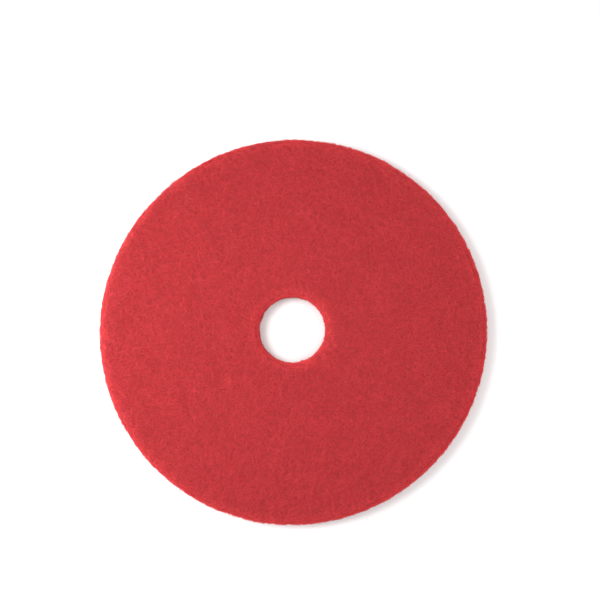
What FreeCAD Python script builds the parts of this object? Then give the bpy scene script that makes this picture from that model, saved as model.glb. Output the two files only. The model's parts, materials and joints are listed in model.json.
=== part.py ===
"""A round floor-buffing pad: one thick disc of open, springy fibre web with a centre hole.

The web is bonded right through, but not evenly. Resin and fine mineral are sprayed into it from
both sides, so each face is a dense layer and the middle stays open. Each layer is its own solid:

    lower_face_layer   the face that rests on the floor, from z = 0 up
    core_web           the open middle of the web
    upper_face_layer   the other working face, which the machine's pad holder grips

The pad is reversible, so the two face layers are mirror images. It lies flat with its axis on
+Z, and the origin is the centre of its lower face. All lengths are in millimetres.
"""

import FreeCAD, Part
import os

# Driving dimensions
PAD_DIAMETER = 482.6  # nominal 19 inch disc
HOLE_DIAMETER = 82.55  # nominal 3 1/4 inch hole, for the pad holder's centre lock
THICKNESS = 25.4  # nominal 1 inch, both faces included
FACE_DEPTH = 4.0  # how far the sprayed resin and mineral reach in from each face
EDGE_ROLL = 3.0  # radius the cutting die leaves where a face meets the rim or the hole

OUTER_RADIUS = PAD_DIAMETER / 2
HOLE_RADIUS = HOLE_DIAMETER / 2
ORIGIN = FreeCAD.Vector(0, 0, 0)
UP = FreeCAD.Vector(0, 0, 1)


def point(radius, height):
    """A point of the pad's cross-section, which lies in the XZ plane."""
    return FreeCAD.Vector(radius, 0, height)


def ring(outline):
    """The solid that a closed outline of connected edges makes in one turn about the axis."""
    return Part.Face(Part.Wire(outline)).revolve(ORIGIN, UP, 360)


def rolled_edge(wall_radius, outwards, face_height, upwards):
    """A quarter circle where a cut wall turns over into a face.

    outwards is 1 if the pad's wall faces away from the axis, and -1 if it faces the hole.
    upwards is 1 for a face on top, and -1 for one underneath.
    """
    centre_radius = wall_radius - outwards * EDGE_ROLL
    centre_height = face_height - upwards * EDGE_ROLL
    diagonal = EDGE_ROLL / 2**0.5
    on_wall = point(wall_radius, centre_height)
    between = point(centre_radius + outwards * diagonal, centre_height + upwards * diagonal)
    on_face = point(centre_radius, face_height)
    return Part.Arc(on_wall, between, on_face).toShape()


def face_layer(core_height, face_height):
    """A dense face layer: flat where it meets the core, and rolled over at the rim and the hole."""
    upwards = 1 if face_height > core_height else -1
    roll_height = face_height - upwards * EDGE_ROLL
    return ring(
        [
            Part.makeLine(point(HOLE_RADIUS, core_height), point(HOLE_RADIUS, roll_height)),
            rolled_edge(HOLE_RADIUS, -1, face_height, upwards),
            Part.makeLine(
                point(HOLE_RADIUS + EDGE_ROLL, face_height),
                point(OUTER_RADIUS - EDGE_ROLL, face_height),
            ),
            rolled_edge(OUTER_RADIUS, 1, face_height, upwards),
            Part.makeLine(point(OUTER_RADIUS, roll_height), point(OUTER_RADIUS, core_height)),
            Part.makeLine(point(OUTER_RADIUS, core_height), point(HOLE_RADIUS, core_height)),
        ]
    )


def core_web(low, high):
    """The open middle of the web: a flat ring with straight cut walls."""
    corners = [
        point(HOLE_RADIUS, low),
        point(OUTER_RADIUS, low),
        point(OUTER_RADIUS, high),
        point(HOLE_RADIUS, high),
    ]
    following = corners[1:] + corners[:1]
    return ring([Part.makeLine(a, b) for a, b in zip(corners, following)])


def main():
    core_low = FACE_DEPTH
    core_high = THICKNESS - FACE_DEPTH
    nodes = {
        "lower_face_layer": face_layer(core_low, 0),
        "core_web": core_web(core_low, core_high),
        "upper_face_layer": face_layer(core_high, THICKNESS),
    }
    os.makedirs("parts", exist_ok=True)
    for name, solid in nodes.items():
        solid.exportStep(f"parts/{name}.step")
        print(f"{name}: valid {solid.isValid()}, {solid.Volume / 1000:.1f} cm3")


main()
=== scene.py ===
# %% [markdown]
# # A round floor-buffing pad, built up from its fibres
#
# The pad is one thick disc of springy red web with a hole in the middle. Nothing on it is
# woven or sewn. Crimped fibres are blown into a loose mat, sprayed with resin so that they
# stick where they cross, baked, and cut to a circle with a die. So it has almost no outline
# to model, and everything that makes it look real is the web itself. This script makes it the
# way the factory does: a body first, then sheets of separate fibres laid on it.
#
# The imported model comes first. It is the frame that all later sizes are read from.

import json
from math import cos, pi, radians, sin

import bmesh
import bpy
import numpy as np
from mathutils import Matrix, Vector, noise


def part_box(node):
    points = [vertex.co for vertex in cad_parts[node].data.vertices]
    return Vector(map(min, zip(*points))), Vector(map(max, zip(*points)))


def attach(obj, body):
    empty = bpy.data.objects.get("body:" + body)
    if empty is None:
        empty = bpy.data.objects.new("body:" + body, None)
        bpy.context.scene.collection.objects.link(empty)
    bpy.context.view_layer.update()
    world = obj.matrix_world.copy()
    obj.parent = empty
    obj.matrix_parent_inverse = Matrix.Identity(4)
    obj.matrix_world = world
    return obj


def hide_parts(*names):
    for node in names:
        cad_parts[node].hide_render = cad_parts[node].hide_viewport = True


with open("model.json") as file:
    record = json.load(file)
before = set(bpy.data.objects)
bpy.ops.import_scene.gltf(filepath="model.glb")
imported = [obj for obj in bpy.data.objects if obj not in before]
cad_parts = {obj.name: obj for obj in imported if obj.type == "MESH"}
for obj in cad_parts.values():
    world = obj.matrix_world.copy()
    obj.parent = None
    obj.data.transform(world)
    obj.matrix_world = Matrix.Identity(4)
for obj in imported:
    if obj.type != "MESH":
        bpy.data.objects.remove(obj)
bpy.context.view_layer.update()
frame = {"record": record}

# %% [markdown]
# The rim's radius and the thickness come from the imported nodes, and the hole's radius from the
# mount that a pad holder's centre lock goes through. The rest is the habit of the material: how
# deep the coat of loose fibres is, and how softly a die leaves the edges. The die presses the
# web down before it cuts, so a face starts to dip well before it reaches the wall.

# %% Sizes
MM = 0.001
HOLE_MOUNT = next(m for m in frame["record"]["mounts"] if m["name"] == "centre_hole")
HOLE_RADIUS = HOLE_MOUNT["dims"]["r_mm"] * MM
RIM_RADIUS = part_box("core_web")[1].x
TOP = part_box("upper_face_layer")[1].z
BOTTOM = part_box("lower_face_layer")[0].z
MIDDLE = (TOP + BOTTOM) / 2

ROLL_WIDTH = 14 * MM  # how far in from its edge a face starts to dip
ROLL_DROP = 5.0 * MM  # how far it has dipped where it meets the wall
COAT = 2.2 * MM  # depth of the loose fibres over the body
print(f"rim {RIM_RADIUS:.4f}, hole {HOLE_RADIUS:.4f}, from {BOTTOM:.4f} to {TOP:.4f}")

# %% [markdown]
# A web this soft is never a perfect disc. The die leaves it very slightly oval, its walls
# wander in and out by up to a millimetre, and its upper face rises and falls by half of one.
# All three are one function of a point, so that the body and every fibre on it are bent alike
# and never part. The walls' wandering fades out across the roll, where the web is firm again.

# %% The pad's small unevenness
OVAL = 0.0050  # share by which the long way is longer, and the short way shorter
LONG_WAY = radians(22)  # direction of the long way, from +X
SWELL = 0.5 * MM  # how deep the upper face's hollows are
RAGGED = 1.2 * MM  # how far the outline wanders in and out at the walls
RAGGED_SIZE = 5 * MM  # and over what length
SWELL_COUNT = 7  # waves that make up the hollows
swell_draw = np.random.default_rng(3)
SWELL_WAVES = swell_draw.uniform(25, 75, SWELL_COUNT)  # radians per metre
SWELL_WAYS = swell_draw.uniform(0, 2 * pi, SWELL_COUNT)
SWELL_STARTS = swell_draw.uniform(0, 2 * pi, SWELL_COUNT)


def near_wall(points):
    """1 at the rim's wall and the hole's, and fading to 0 over the width of the roll."""
    radius = np.hypot(points[:, 0], points[:, 1])
    from_wall = np.minimum(RIM_RADIUS - radius, radius - HOLE_RADIUS)
    return np.clip(1 - from_wall / ROLL_WIDTH, 0, 1)


def uneven(points):
    """Points of a perfect pad, an array of x, y and z, moved to where they are on this one."""
    x, y, z = points.T
    long_way = (x * cos(LONG_WAY) + y * sin(LONG_WAY)) * (1 + OVAL)
    short_way = (y * cos(LONG_WAY) - x * sin(LONG_WAY)) * (1 - OVAL)
    ripples = [
        np.sin(wave * (x * cos(way) + y * sin(way)) + start)
        for wave, way, start in zip(SWELL_WAVES, SWELL_WAYS, SWELL_STARTS)
    ]
    hollow = np.clip(0.5 - sum(ripples) / len(ripples), 0, 1)
    ragged = np.array([noise.noise(Vector(point) / RAGGED_SIZE) for point in points])
    away = 1 + RAGGED * ragged * near_wall(points) / np.hypot(x, y)
    # The floor holds the lower face flat, so the hollows fade out towards it.
    above_floor = np.clip((z - BOTTOM) / (TOP - BOTTOM), 0, 1)
    moved = [
        away * (long_way * cos(LONG_WAY) - short_way * sin(LONG_WAY)),
        away * (long_way * sin(LONG_WAY) + short_way * cos(LONG_WAY)),
        z - SWELL * hollow * above_floor,
    ]
    return np.stack(moved, axis=1)


print(f"oval by {OVAL * RIM_RADIUS / MM:.1f} mm each way, hollows up to {SWELL / MM:.1f} mm")

# %% [markdown]
# The camera looks down on the pad from almost straight above, leaning a few degrees to the
# lower right. It could be turned by hand, but a camera that looks almost straight down spins
# wildly for a small change of angle. So its three directions are worked out instead: one
# towards the camera, one to the right of the picture, and one up it.

# %% Camera
CAMERA_RISE = radians(85.5)  # above the horizon
CAMERA_LEAN = radians(-60.6)  # which way it leans, from +X
CAMERA_AWAY = 1.2
CAMERA_LENS = 57.25  # in millimetres
CAMERA_SENSOR = 36  # its width, in millimetres
AIM = Vector((0.0098, 0.0377, MIDDLE))

towards_camera = Vector(
    (
        cos(CAMERA_RISE) * cos(CAMERA_LEAN),
        cos(CAMERA_RISE) * sin(CAMERA_LEAN),
        sin(CAMERA_RISE),
    )
)
rightwards = Vector((0, 1, 0)).cross(towards_camera).normalized()
upwards = towards_camera.cross(rightwards)
camera_data = bpy.data.cameras.new("camera")
camera_data.lens = CAMERA_LENS
camera_data.sensor_width = CAMERA_SENSOR
camera = bpy.data.objects.new("camera", camera_data)
camera.matrix_world = (
    Matrix.Translation(AIM + CAMERA_AWAY * towards_camera)
    @ Matrix((rightwards, upwards, towards_camera)).transposed().to_4x4()
)
bpy.context.scene.collection.objects.link(camera)
bpy.context.scene.camera = camera
print("camera at", [round(x, 3) for x in camera.matrix_world.translation])

# %% [markdown]
# The studio is a white sweep of floor under a white ceiling, with white walls all round. The
# walls are the world's colour, and the ceiling is a sun straight overhead whose disc is so wide
# that it throws hardly any shadow. Sky from above reaches down into the hole, where light from
# the walls doesn't. Then come the lamps. A round soft one stands high on the left, and the pad's
# own thickness throws a short shadow away from it. A long panel stands low and close on the same
# side. It skims the flat face, but it meets the rolled edges that face it square on, so they
# glow. A white card opposite gives some of the light back, to the edges on the far side and to
# the shadow in the hole.
#
# An area lamp lights only what is in front of it, which would leave a hard line on the floor
# beside the pad. Its spread is narrowed, so that its light dies away before that line.

# %% Floor
FLOOR_SIDE = 80
FLOOR_BELOW = 0.2 * MM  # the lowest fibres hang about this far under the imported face
FLOOR_WHITE = (0.90, 0.90, 0.90)
FLOOR_ROUGHNESS = 0.9


def plain_material(name, colour, roughness):
    """A material of one colour, set on the shader itself."""
    material = bpy.data.materials.new(name)
    material.use_nodes = True
    shader = material.node_tree.nodes["Principled BSDF"]
    shader.inputs["Base Color"].default_value = (*colour, 1)
    shader.inputs["Roughness"].default_value = roughness
    return material


floor_mesh = bmesh.new()
bmesh.ops.create_grid(floor_mesh, x_segments=1, y_segments=1, size=FLOOR_SIDE / 2)
floor_data = bpy.data.meshes.new("floor")
floor_mesh.to_mesh(floor_data)
floor_mesh.free()
floor_data.transform(Matrix.Translation((0, 0, BOTTOM - FLOOR_BELOW)))
floor_data.materials.append(plain_material("white sweep", FLOOR_WHITE, FLOOR_ROUGHNESS))
floor = bpy.data.objects.new("floor", floor_data)
bpy.context.scene.collection.objects.link(floor)
print(f"floor: {FLOOR_SIDE} m square, {FLOOR_BELOW / MM:.1f} mm under the packed face")

# %% Walls, ceiling and lamps
FILL = 0.41  # strength of the walls
CEILING_WIDTH = radians(75)  # how wide the sun's disc is
CEILING_LIGHT = 1.05  # watts on each square metre of floor
SPREAD = radians(120)  # how wide a lamp throws its light


def soft_light(name, size, away, rise, way, watts):
    """A flat lamp that faces the pad: rise is above the horizon, and way is from +X."""
    data = bpy.data.lights.new(name, "AREA")
    data.shape = "ELLIPSE"
    data.size, data.size_y = size
    data.energy = watts
    data.spread = SPREAD
    towards = Vector((cos(rise) * cos(way), cos(rise) * sin(way), sin(rise)))
    light = bpy.data.objects.new(name, data)
    light.location = away * towards
    light.rotation_euler = towards.to_track_quat("Z", "Y").to_euler()
    light.visible_camera = False
    bpy.context.scene.collection.objects.link(light)
    print(f"{name}: {watts} W, {away} m away, {round(rise * 180 / pi)} degrees up")


soft_light("high lamp", size=(0.52, 0.52), away=1.05, rise=radians(60), way=radians(168), watts=3.0)
soft_light("low panel", size=(0.7, 0.3), away=0.75, rise=radians(15), way=radians(182), watts=2.5)
soft_light("white card", size=(0.7, 0.5), away=0.95, rise=radians(52), way=radians(0), watts=0.95)

ceiling = bpy.data.objects.new("ceiling", bpy.data.lights.new("ceiling", "SUN"))
ceiling.data.energy = CEILING_LIGHT
ceiling.data.angle = CEILING_WIDTH
bpy.context.scene.collection.objects.link(ceiling)

world = bpy.data.worlds.new("studio")
world.use_nodes = True
world.node_tree.nodes["Background"].inputs["Color"].default_value = (1, 1, 1, 1)
world.node_tree.nodes["Background"].inputs["Strength"].default_value = FILL
bpy.context.scene.world = world
bpy.context.scene.view_settings.view_transform = "Standard"

# %% [markdown]
# The red is a dye in the resin, and it isn't even. The spray lands in drops, so small clumps
# of the web hold more of it and look darker. Body and fibres share that pattern: it is a noise
# on the object's own coordinates, and all pieces sit on one origin, so a clump that starts on
# a fibre goes on in the body under it. Thick resin is also a little glossier than bare fibre.
#
# Each fibre has a shade of its own too, which arrives as an attribute of its mesh. It is paler
# along the rolled edges and on the walls, and palest at the cut ends. That paleness is partly dye
# rubbed off by hands and the floor, and the undyed middle of a cut fibre, and partly a painted
# highlight for the light that the edges and the outline catch.

# %% The dye, and the fibres' material
FIBRE_PALE = (0.940, 0.074, 0.085)
FIBRE_DEEP = (0.580, 0.046, 0.053)
CLUMP_SIZE = 4.2 * MM
CLUMP_DETAIL = 3  # how many finer noises are added to it
CLUMP_GRAIN = 0.6  # and how strong each is beside the one before
CLUMP_DARK = 0.87  # what is left of the colour where the resin is thickest
CLUMP_FULL = 0.30  # where the noise is this low, the resin is thickest
CLUMP_EDGE = 0.52  # from here up, the colour is full
GLOSS_EDGE = 0.62  # and from here up, the fibre is bare
DRY_ROUGHNESS = 0.72
RESIN_ROUGHNESS = 0.50
FIBRE_SPECULAR = 0.25


def stretched(nodes, links, value, start, end):
    """A value taken from one range to another, each given as its two limits."""
    stretch = nodes.new("ShaderNodeMapRange")
    for limit, number in zip(("From Min", "From Max", "To Min", "To Max"), (*start, *end)):
        stretch.inputs[limit].default_value = number
    links.new(value, stretch.inputs["Value"])
    return stretch.outputs["Result"]


def between(nodes, links, share, deep, pale):
    """The deep colour where the share is 0, the pale one where it is 1."""
    mix = nodes.new("ShaderNodeMix")
    mix.data_type = "RGBA"
    mix.inputs["A"].default_value = (*deep, 1)
    mix.inputs["B"].default_value = (*pale, 1)
    links.new(share, mix.inputs["Factor"])
    return mix.outputs["Result"]


def dyed(nodes, links, colour_socket, shader):
    """Gives a shader this colour, made darker and glossier in clumps, as the resin leaves it."""
    place = nodes.new("ShaderNodeTexCoord")
    clumps = nodes.new("ShaderNodeTexNoise")
    clumps.inputs["Scale"].default_value = 1 / CLUMP_SIZE
    clumps.inputs["Detail"].default_value = CLUMP_DETAIL
    clumps.inputs["Roughness"].default_value = CLUMP_GRAIN
    links.new(place.outputs["Object"], clumps.inputs["Vector"])
    noise_value = clumps.outputs["Fac"]
    left = stretched(nodes, links, noise_value, (CLUMP_FULL, CLUMP_EDGE), (CLUMP_DARK, 1))
    gloss_range = (RESIN_ROUGHNESS, DRY_ROUGHNESS)
    roughness = stretched(nodes, links, noise_value, (CLUMP_FULL, GLOSS_EDGE), gloss_range)
    darken = nodes.new("ShaderNodeVectorMath")
    darken.operation = "SCALE"
    links.new(colour_socket, darken.inputs[0])
    links.new(left, darken.inputs["Scale"])
    links.new(darken.outputs["Vector"], shader.inputs["Base Color"])
    links.new(roughness, shader.inputs["Roughness"])


def fibre_material():
    """Each fibre at its own shade, from the attribute of that name."""
    material = bpy.data.materials.new("dyed fibre")
    material.use_nodes = True
    nodes, links = material.node_tree.nodes, material.node_tree.links
    shader = nodes["Principled BSDF"]
    shader.inputs["Specular IOR Level"].default_value = FIBRE_SPECULAR
    shade = nodes.new("ShaderNodeAttribute")
    shade.attribute_name = "shade"
    colour = between(nodes, links, shade.outputs["Fac"], FIBRE_DEEP, FIBRE_PALE)
    dyed(nodes, links, colour, shader)
    return material


FIBRE = fibre_material()
print("material:", FIBRE.name)

# %% [markdown]
# Under the loose fibres the web is too tangled to see through, so it is one solid body. The
# finer web on it could be more fibres, but nobody would see them one by one. So its material
# draws them: the edges of a bent cell pattern look very like fibres that cross, both in colour
# and as bump. Four such patterns, each coarser than the last, lie over each other. The body's
# reds are darker than the fibres': that is painted shade for the depth of the web, and it is
# darkest in the gaps between the drawn strands.

# %% The body's material
# Both reds are painted shade for the depth of the web; the darker one is the shade between strands.
BODY_SHADED_GAP = (0.32, 0.018, 0.023)
BODY_SHADED_STRAND = (0.64, 0.048, 0.056)
BODY_SPECULAR = 0.2
BODY_BUMP = 0.5 * MM
TANGLE_CELLS = (1.3 * MM, 1.9 * MM, 2.8 * MM, 4.1 * MM)
STRAND_WIDTH = 0.2 * MM
STRAND_CREST = 0.2  # share of the width that is at full height
BEND_SCALE = 0.7  # how many bends there are to a cell
BEND_REACH = 1.6  # how far they push it, in cells


def cell_web(nodes, links, place, cell):
    """1 along the edges of a bent cell pattern and 0 between them: one tangle of fibres."""
    bend = nodes.new("ShaderNodeTexNoise")
    bend.inputs["Scale"].default_value = BEND_SCALE / cell
    shift = nodes.new("ShaderNodeVectorMath")
    shift.operation = "MULTIPLY_ADD"
    shift.inputs[1].default_value = (BEND_REACH * cell,) * 3
    cells = nodes.new("ShaderNodeTexVoronoi")
    cells.feature = "DISTANCE_TO_EDGE"
    cells.inputs["Scale"].default_value = 1 / cell
    links.new(place, bend.inputs["Vector"])
    links.new(bend.outputs["Color"], shift.inputs[0])
    links.new(place, shift.inputs[2])
    links.new(shift.outputs["Vector"], cells.inputs["Vector"])
    strand = (STRAND_CREST * STRAND_WIDTH / cell, STRAND_WIDTH / cell)
    return stretched(nodes, links, cells.outputs["Distance"], strand, (1, 0))


def body_material():
    """The tangle of all the cell webs, as bump and as two reds that carry painted shade: darker than
    the fibres, and darkest in the gaps between strands.
    """
    material = bpy.data.materials.new("matted web")
    material.use_nodes = True
    nodes, links = material.node_tree.nodes, material.node_tree.links
    shader = nodes["Principled BSDF"]
    shader.inputs["Specular IOR Level"].default_value = BODY_SPECULAR
    place = nodes.new("ShaderNodeTexCoord").outputs["Object"]
    webs = [cell_web(nodes, links, place, cell) for cell in TANGLE_CELLS]
    tangle = webs[0]
    for web in webs[1:]:
        either = nodes.new("ShaderNodeMath")
        either.operation = "MAXIMUM"
        links.new(tangle, either.inputs[0])
        links.new(web, either.inputs[1])
        tangle = either.outputs["Value"]
    bump = nodes.new("ShaderNodeBump")
    bump.inputs["Strength"].default_value = 1.0
    bump.inputs["Distance"].default_value = BODY_BUMP
    links.new(tangle, bump.inputs["Height"])
    links.new(bump.outputs["Normal"], shader.inputs["Normal"])
    dyed(nodes, links, between(nodes, links, tangle, BODY_SHADED_GAP, BODY_SHADED_STRAND), shader)
    return material


MATTED = body_material()
print("materials:", FIBRE.name, "and", MATTED.name)

# %% [markdown]
# The body's outline is a rectangle in the XZ plane with its four corners bevelled. It is cut
# into short edges and spun round the axis, and then every point is pushed in or out a little,
# so that the body is lumpy like felt. Last, it is made as uneven as the pad is.

# %% The body's shape
BODY_STEPS = 330  # round the axis
BODY_EDGE = 4.0 * MM  # length of the short edges across it
BEVEL_STEPS = 4
LUMP_SIZE = 7.0 * MM
LUMP_HEIGHT = 0.7 * MM
LUMP_SINK = 0.3  # lumps are let in by this share of their height, so that fibres cover them


def coordinates(points):
    """The places of a mesh's vertices as an array of x, y and z."""
    flat = np.empty(len(points) * 3, np.float32)
    points.foreach_get("co", flat)
    return flat.reshape(-1, 3)


def add_piece(mesh, name, slot, *nodes):
    """The object for a finished mesh, riding on the pad and standing for CAD nodes."""
    piece = bpy.data.objects.new(name, mesh)
    bpy.context.scene.collection.objects.link(piece)
    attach(piece, "root")
    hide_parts(*nodes)
    print(f"{name}: {sum(len(face.vertices) - 2 for face in mesh.polygons)} triangles")
    return piece


def lumpy(vertex):
    """How far a point of the body is pushed out along its normal."""
    return LUMP_HEIGHT * (noise.noise(vertex.co / LUMP_SIZE) - LUMP_SINK)


def web_body():
    """The lumpy ring under the fibres."""
    shape = bmesh.new()
    section = [
        shape.verts.new((radius, 0, height))
        for radius, height in (
            (HOLE_RADIUS + COAT, BOTTOM + COAT),
            (RIM_RADIUS - COAT, BOTTOM + COAT),
            (RIM_RADIUS - COAT, TOP - COAT),
            (HOLE_RADIUS + COAT, TOP - COAT),
        )
    ]
    shape.faces.new(section)
    bmesh.ops.bevel(
        shape,
        geom=section,
        affect="VERTICES",
        offset=ROLL_DROP,
        segments=BEVEL_STEPS,
        profile=0.5,
        material=-1,
    )
    bmesh.ops.delete(shape, geom=shape.faces[:], context="FACES_ONLY")
    for edge in shape.edges[:]:
        cuts = int(edge.calc_length() / BODY_EDGE)
        if cuts:
            bmesh.ops.subdivide_edges(shape, edges=[edge], cuts=cuts)
    bmesh.ops.spin(
        shape,
        geom=shape.verts[:] + shape.edges[:],
        axis=(0, 0, 1),
        cent=(0, 0, 0),
        angle=2 * pi,
        steps=BODY_STEPS,
        use_merge=True,
    )
    bmesh.ops.recalc_face_normals(shape, faces=shape.faces)
    shape.normal_update()
    for vertex in shape.verts:
        vertex.co += vertex.normal * lumpy(vertex)
    mesh = bpy.data.meshes.new("web_body")
    shape.to_mesh(mesh)
    shape.free()
    mesh.vertices.foreach_set("co", uneven(coordinates(mesh.vertices)).astype(np.float32).ravel())
    mesh.shade_smooth()
    mesh.materials.append(MATTED)
    return mesh


body = add_piece(web_body(), "web_body", "core_web", "core_web")

# %% [markdown]
# Next come the fibres. On a face they lie nearly flat, in every direction, and each one is
# crimped: its direction swings from side to side as it goes, and slowly drifts as well. So a
# path is drawn as a walk over a flat sheet, in short equal steps whose heading swings and
# drifts. Seeded random numbers make the walks, so the pad is the same each time.

# %% Walks over a flat sheet
FIBRE_POINTS = 8
STEP = 3.6 * MM
SWING = 0.45  # how far the heading swings to each side, in radians
DRIFT = 0.20  # how far it drifts at each step, in radians
SWING_PACE = (0.8, 1.6)  # how fast the swing goes, in radians a step, for the laziest and the liveliest
BOB_PACE = (0.8, 2.0)  # and how fast a fibre bobs up and down
ROOTED = 0.5 * MM  # how far the ends go into the body


def wander(draw, headings):
    """Crimped paths about the sheet's zero, one for each heading: (fibre, point, x and y)."""
    legs = np.arange(FIBRE_POINTS - 1)
    drift = np.cumsum(draw.normal(0, DRIFT, (len(headings), len(legs))), axis=1)
    start = draw.uniform(0, 2 * pi, (len(headings), 1))
    pace = draw.uniform(*SWING_PACE, (len(headings), 1))
    way = headings[:, None] + drift + SWING * np.sin(start + pace * legs)
    hops = STEP * np.stack([np.cos(way), np.sin(way)], axis=2)
    path = np.concatenate([np.zeros((len(headings), 1, 2)), np.cumsum(hops, axis=1)], axis=1)
    return path - path.mean(axis=1, keepdims=True)


def depths(draw, count, shallow, deep):
    """How far each point lies under the pad's outer surface. The ends dive into the body."""
    along = np.linspace(-1, 1, FIBRE_POINTS)
    start = draw.uniform(0, 2 * pi, (count, 1))
    pace = draw.uniform(*BOB_PACE, (count, 1))
    middle = draw.uniform(shallow, deep, (count, 1))
    swing = 0.5 * (deep - shallow) * np.sin(start + pace * np.arange(FIBRE_POINTS))
    dive = (COAT + ROOTED - middle) * along**4
    return middle + swing + dive


print(f"each fibre is {(FIBRE_POINTS - 1) * STEP / MM:.0f} mm long")

# %% [markdown]
# A flat sheet has to be folded down over the pad's soft edges. Near the rim, a point's distance
# past the start of the roll is turned into an angle, and the point goes round a quarter of an
# ellipse by that angle. What is left over runs down the wall. The hole's edge is the same with
# the signs changed, and the lower face is the upper one turned over.

# %% Fold a sheet over the edges
# A quarter of the ellipse's outline, near enough.
ROLL_LENGTH = pi / 2 * ((ROLL_WIDTH**2 + ROLL_DROP**2) / 2) ** 0.5
SPILL = 1.5 * MM  # how far a face fibre may run down a wall before it turns back


def turned_back(past):
    """Distances past the roll's start, bent back where they would run down the wall."""
    limit = ROLL_LENGTH + SPILL
    return limit - np.abs(limit - past)


def on_face(flat, depth, upper=True):
    """Flat paths and their depths, as points on a face and its rolled edges."""
    distance = np.hypot(flat[..., 0], flat[..., 1])
    rim_flat = RIM_RADIUS - ROLL_WIDTH
    hole_flat = HOLE_RADIUS + ROLL_WIDTH
    radius = np.clip(distance, hole_flat, rim_flat)
    height = TOP - depth
    for outward, past in (
        (1, turned_back(distance - rim_flat)),
        (-1, turned_back(hole_flat - distance)),
    ):
        angle = np.clip(past / ROLL_LENGTH, 0, 1) * pi / 2
        down_wall = np.maximum(past - ROLL_LENGTH, 0)
        radius += outward * (ROLL_WIDTH - depth) * np.sin(angle)
        height -= (ROLL_DROP - depth) * (1 - np.cos(angle)) + down_wall
    if not upper:
        height = TOP + BOTTOM - height
    share = radius / distance
    return np.stack([flat[..., 0] * share, flat[..., 1] * share, height], axis=2)


def on_wall(along, up, depth, wall_radius, outward):
    """Distances along and up a wall, with depths under it, as points in space."""
    radius = wall_radius - outward * depth
    angle = along / wall_radius
    return np.stack([radius * np.cos(angle), radius * np.sin(angle), MIDDLE + up], axis=2)


print(f"the roll is {ROLL_LENGTH / MM:.1f} mm round")

# %% [markdown]
# A path becomes a fibre when a small outline is swept along it. Three sides are enough for
# something a third of a millimetre thick, once its faces are shaded smooth, and they keep the
# whole coat within a sane number of triangles. Geometry nodes sweep thousands at once: the
# paths go in as a mesh of loose edges, and come out as closed tubes with capped ends. The
# thickness of each point is an attribute, so beads of resin are simply thicker points.
#
# Each fibre then gets its own cell on a square map, with its three sides laid out side by
# side, so that its colour can be painted on it as an image. Without such a map, its colour
# could not be painted on it when the model is exported.

# %% Sweep paths into fibres
FIBRE_THICKNESS = 0.31 * MM
THICKNESS_RANGE = (0.75, 1.2)  # the thinnest and the thickest fibre, as shares of that
FIBRE_SIDES = 3
BEAD_SHARE = 0.07  # share of the points that carry a bead of resin
BEAD_SIZE = 1.8  # a bead's thickness, in fibres
WEAR_AND_HIGHLIGHT_SHARE = 0.5  # how much of a fibre's shade comes from where it lies (rubbed dye and a painted highlight on the edges), and not from itself
CELL_MARGIN = 0.1  # share of a map's cell that is left free on each side


def sweep_tree():
    """The nodes that sweep a triangle along each path, at the thickness of each point."""
    tree = bpy.data.node_groups.new("sweep", "GeometryNodeTree")
    tree.interface.new_socket("Geometry", in_out="INPUT", socket_type="NodeSocketGeometry")
    tree.interface.new_socket("Geometry", in_out="OUTPUT", socket_type="NodeSocketGeometry")
    new, link = tree.nodes.new, tree.links.new
    paths, outline = new("GeometryNodeMeshToCurve"), new("GeometryNodeCurvePrimitiveCircle")
    thickness, sweep = new("GeometryNodeInputNamedAttribute"), new("GeometryNodeCurveToMesh")
    outline.inputs["Resolution"].default_value = FIBRE_SIDES
    outline.inputs["Radius"].default_value = 0.5  # one across, so that a scale is a thickness
    thickness.data_type = "FLOAT"
    thickness.inputs["Name"].default_value = "thickness"
    sweep.inputs["Fill Caps"].default_value = True
    link(new("NodeGroupInput").outputs[0], paths.inputs["Mesh"])
    link(paths.outputs["Curve"], sweep.inputs["Curve"])
    link(outline.outputs["Curve"], sweep.inputs["Profile Curve"])
    link(thickness.outputs["Attribute"], sweep.inputs["Scale"])
    link(sweep.outputs["Mesh"], new("NodeGroupOutput").inputs[0])
    return tree


SWEEP = sweep_tree()


def set_attribute(mesh, name, values):
    """Gives each point of a mesh its number."""
    mesh.attributes.new(name, "FLOAT", "POINT").data.foreach_set("value", values.ravel())


def map_cells(mesh, count, points):
    """Lays each fibre out in its own cell of a square map."""
    sides = [(0, 0), (1, 0), (1, 1), (0, 1)]
    strip = [
        ((side + across) / FIBRE_SIDES, (ring + along) / (points - 1))
        for ring in range(points - 1)
        for side in range(FIBRE_SIDES)
        for across, along in sides
    ]
    caps = [(0, 0), (1, 0), (0.5, 0.1), (0, 1), (1, 1), (0.5, 0.9)]
    columns = int(np.ceil(np.sqrt(count)))
    corner = np.arange(count)
    cells = np.stack([corner % columns, corner // columns], axis=1)
    inside = CELL_MARGIN + (1 - 2 * CELL_MARGIN) * np.array(strip + caps)
    layer = mesh.uv_layers.new(name="OFBake", do_init=False)
    places = (cells[:, None, :] + inside[None, :, :]) / columns
    layer.uv.foreach_set("vector", places.astype(np.float32).ravel())


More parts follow.
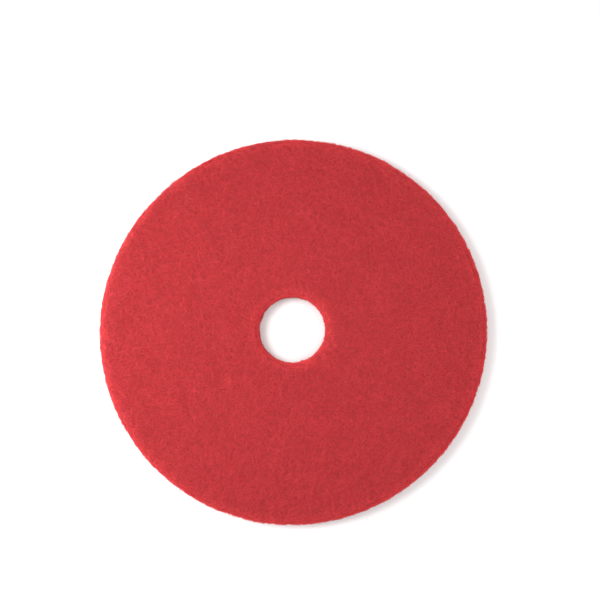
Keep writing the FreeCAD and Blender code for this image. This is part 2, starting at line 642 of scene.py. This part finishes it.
def fibres(name, draw, paths, wear_and_highlight):
    """One closed mesh of fibres, from their paths: (fibre, point, x, y and z).

    The last argument is how much paler their points are, from 0 to 1, for rubbed dye and for a painted
    highlight on the edges: one number, or one for each point.
    """
    count, points, _ = paths.shape
    wires = bpy.data.meshes.new(name + " paths")
    wires.vertices.add(count * points)
    wires.vertices.foreach_set("co", uneven(paths.reshape(-1, 3)).astype(np.float32).ravel())
    ends = np.arange(count * points).reshape(count, points)
    wires.edges.add(count * (points - 1))
    wires.edges.foreach_set("vertices", np.stack([ends[:, :-1], ends[:, 1:]], axis=2).ravel())
    thickness = FIBRE_THICKNESS * draw.uniform(*THICKNESS_RANGE, (count, 1))
    beads = np.where(draw.random((count, points)) < BEAD_SHARE, BEAD_SIZE, 1)
    set_attribute(wires, "thickness", thickness * beads)
    # Painted highlight: points along the edges and walls get a paler shade, together with the rubbed
    # dye.
    shade = (1 - WEAR_AND_HIGHLIGHT_SHARE) * draw.random((count, 1)) + WEAR_AND_HIGHLIGHT_SHARE * wear_and_highlight
    set_attribute(wires, "shade", shade * np.ones((count, points)))
    holder = bpy.data.objects.new(name + " paths", wires)
    bpy.context.scene.collection.objects.link(holder)
    holder.modifiers.new("sweep", "NODES").node_group = SWEEP
    ready = holder.evaluated_get(bpy.context.evaluated_depsgraph_get())
    mesh = bpy.data.meshes.new_from_object(ready)
    bpy.data.objects.remove(holder)
    mesh.name = name
    mesh.shade_smooth()
    map_cells(mesh, count, points)
    mesh.materials.append(FIBRE)
    return mesh


print("sweep ready")

# %% [markdown]
# The coat on each face is laid as sheets, the deepest first, as the mat itself is laid. Each
# sheet is a piece that covers the whole face, so it can be swapped or thinned by itself. The
# starts are even over the area, which needs the square root of an even draw between the
# squares of the two edges, or the fibres would crowd round the hole.

# %% Coats of the two faces
SHEET_FIBRES = 4500
UPPER_SHEETS = 5
LOWER_SHEETS = 3
SKIN = 0.25 * MM  # the middle of a fibre lies at least this deep
LAST_DEEP = 0.5 * MM  # the deep sides of the sheets rise towards this
SHEETS_DEEP = COAT - 0.3 * MM  # depth of all the sheets of a face together


def face_sheet(seed, shallow, deep, upper):
    """The paths of one sheet, and the draw that made them."""
    draw = np.random.default_rng(seed)
    inner = HOLE_RADIUS + ROLL_WIDTH - ROLL_LENGTH - SPILL
    outer = RIM_RADIUS - ROLL_WIDTH + ROLL_LENGTH + SPILL
    distance = np.sqrt(draw.uniform(inner**2, outer**2, SHEET_FIBRES))
    angle = draw.uniform(0, 2 * pi, SHEET_FIBRES)
    start = distance[:, None] * np.stack([np.cos(angle), np.sin(angle)], axis=1)
    flat = start[:, None, :] + wander(draw, draw.uniform(0, 2 * pi, SHEET_FIBRES))
    return on_face(flat, depths(draw, SHEET_FIBRES, shallow, deep), upper), draw


def face_coat(side, node, sheets, first_seed, upper):
    """All the sheets of one face, the deepest first."""
    for sheet in range(sheets):
        deep = COAT - (COAT - LAST_DEEP) * (sheet + 0.5) / sheets
        shallow = max(deep - SHEETS_DEEP / sheets, SKIN)
        name = f"{side}_fibres_{sheet + 1}"
        paths, draw = face_sheet(first_seed + sheet, shallow, deep, upper)
        # Paler towards the rolled edges: rubbed dye, and a painted highlight for the light the rolls
        # catch.
        wear_and_highlight = near_wall(paths.reshape(-1, 3)).reshape(paths.shape[:2])
        add_piece(fibres(name, draw, paths, wear_and_highlight), name, "face_web", node)


face_coat("upper", "upper_face_layer", UPPER_SHEETS, 100, upper=True)
face_coat("lower", "lower_face_layer", LOWER_SHEETS, 200, upper=False)

# %% [markdown]
# The walls of the rim and the hole are cuts through the mat, so they look different. Most of
# what shows there is fibre that lies along the wall, in layers, because the mat was built up
# flat. Between them the cut ends stick out, and they are what makes the outline soft.

# %% Coats of the two walls
# How much paler the wall fibres are than a face's middle: rubbed dye and painted highlight.
WALL_WEAR_AND_HIGHLIGHT = 0.4
WALL_SPREAD = 0.45  # how far the headings lean from level, in radians
WALL_LAP = 1.2 * MM  # how far the wall's fibres lap over the rolls
WALL_HALF = (TOP - BOTTOM) / 2 - ROLL_DROP + WALL_LAP
WALL_DEEP = COAT - 0.4 * MM


def wall_coat(name, seed, count, wall_radius, outward):
    """Fibres that lie along a wall. Those that would leave it are turned back."""
    draw = np.random.default_rng(seed)
    walk = wander(draw, draw.normal(0, WALL_SPREAD, count))
    along = walk[..., 0] + draw.uniform(0, 2 * pi * wall_radius, (count, 1))
    up = walk[..., 1] + draw.uniform(-WALL_HALF, WALL_HALF, (count, 1))
    up = WALL_HALF - np.abs(WALL_HALF - up)
    up = np.abs(WALL_HALF + up) - WALL_HALF
    depth = depths(draw, count, SKIN, WALL_DEEP)
    paths = on_wall(along, up, depth, wall_radius, outward)
    add_piece(fibres(name, draw, paths, WALL_WEAR_AND_HIGHLIGHT), name, "core_web", "core_web")


wall_coat("rim_fibres", 300, 4500, RIM_RADIUS, outward=1)
wall_coat("hole_fibres", 400, 800, HOLE_RADIUS, outward=-1)

# %% Cut ends along the walls
END_POINTS = 4
END_STEP = 0.9 * MM
# How much paler the cut ends are: their undyed middles, and a painted highlight along the outline.
END_WEAR_AND_HIGHLIGHT = 0.9
END_LEAN = 0.6  # how far they lean along the wall, in radians
END_TILT = 0.5  # and how far up or down
END_FLATTEN = 0.6  # share of that rise which is left, as the die presses the ends level
END_ROOT = 2.0 * MM  # how deep they start
END_SCATTER = 0.5 * MM  # and by how much that differs


def cut_ends(name, seed, count, wall_radius, outward):
    """Short straight ends that stick out of a wall."""
    draw = np.random.default_rng(seed)
    reach = np.arange(END_POINTS) * END_STEP
    lean = draw.normal(0, END_LEAN, (count, 1))
    tilt = draw.normal(0, END_TILT, (count, 1))
    start = draw.uniform(-WALL_HALF, WALL_HALF, (count, 1))
    root = END_ROOT + draw.normal(0, END_SCATTER, (count, 1))
    depth = root - reach * np.cos(lean) * np.cos(tilt)
    along = draw.uniform(0, 2 * pi * wall_radius, (count, 1)) + reach * np.sin(lean)
    up = start + reach * np.sin(tilt) * END_FLATTEN
    paths = on_wall(along, up, depth, wall_radius, outward)
    add_piece(fibres(name, draw, paths, END_WEAR_AND_HIGHLIGHT), name, "core_web", "core_web")


cut_ends("rim_cut_ends", 500, 4000, RIM_RADIUS, outward=1)
cut_ends("hole_cut_ends", 600, 900, HOLE_RADIUS, outward=-1)
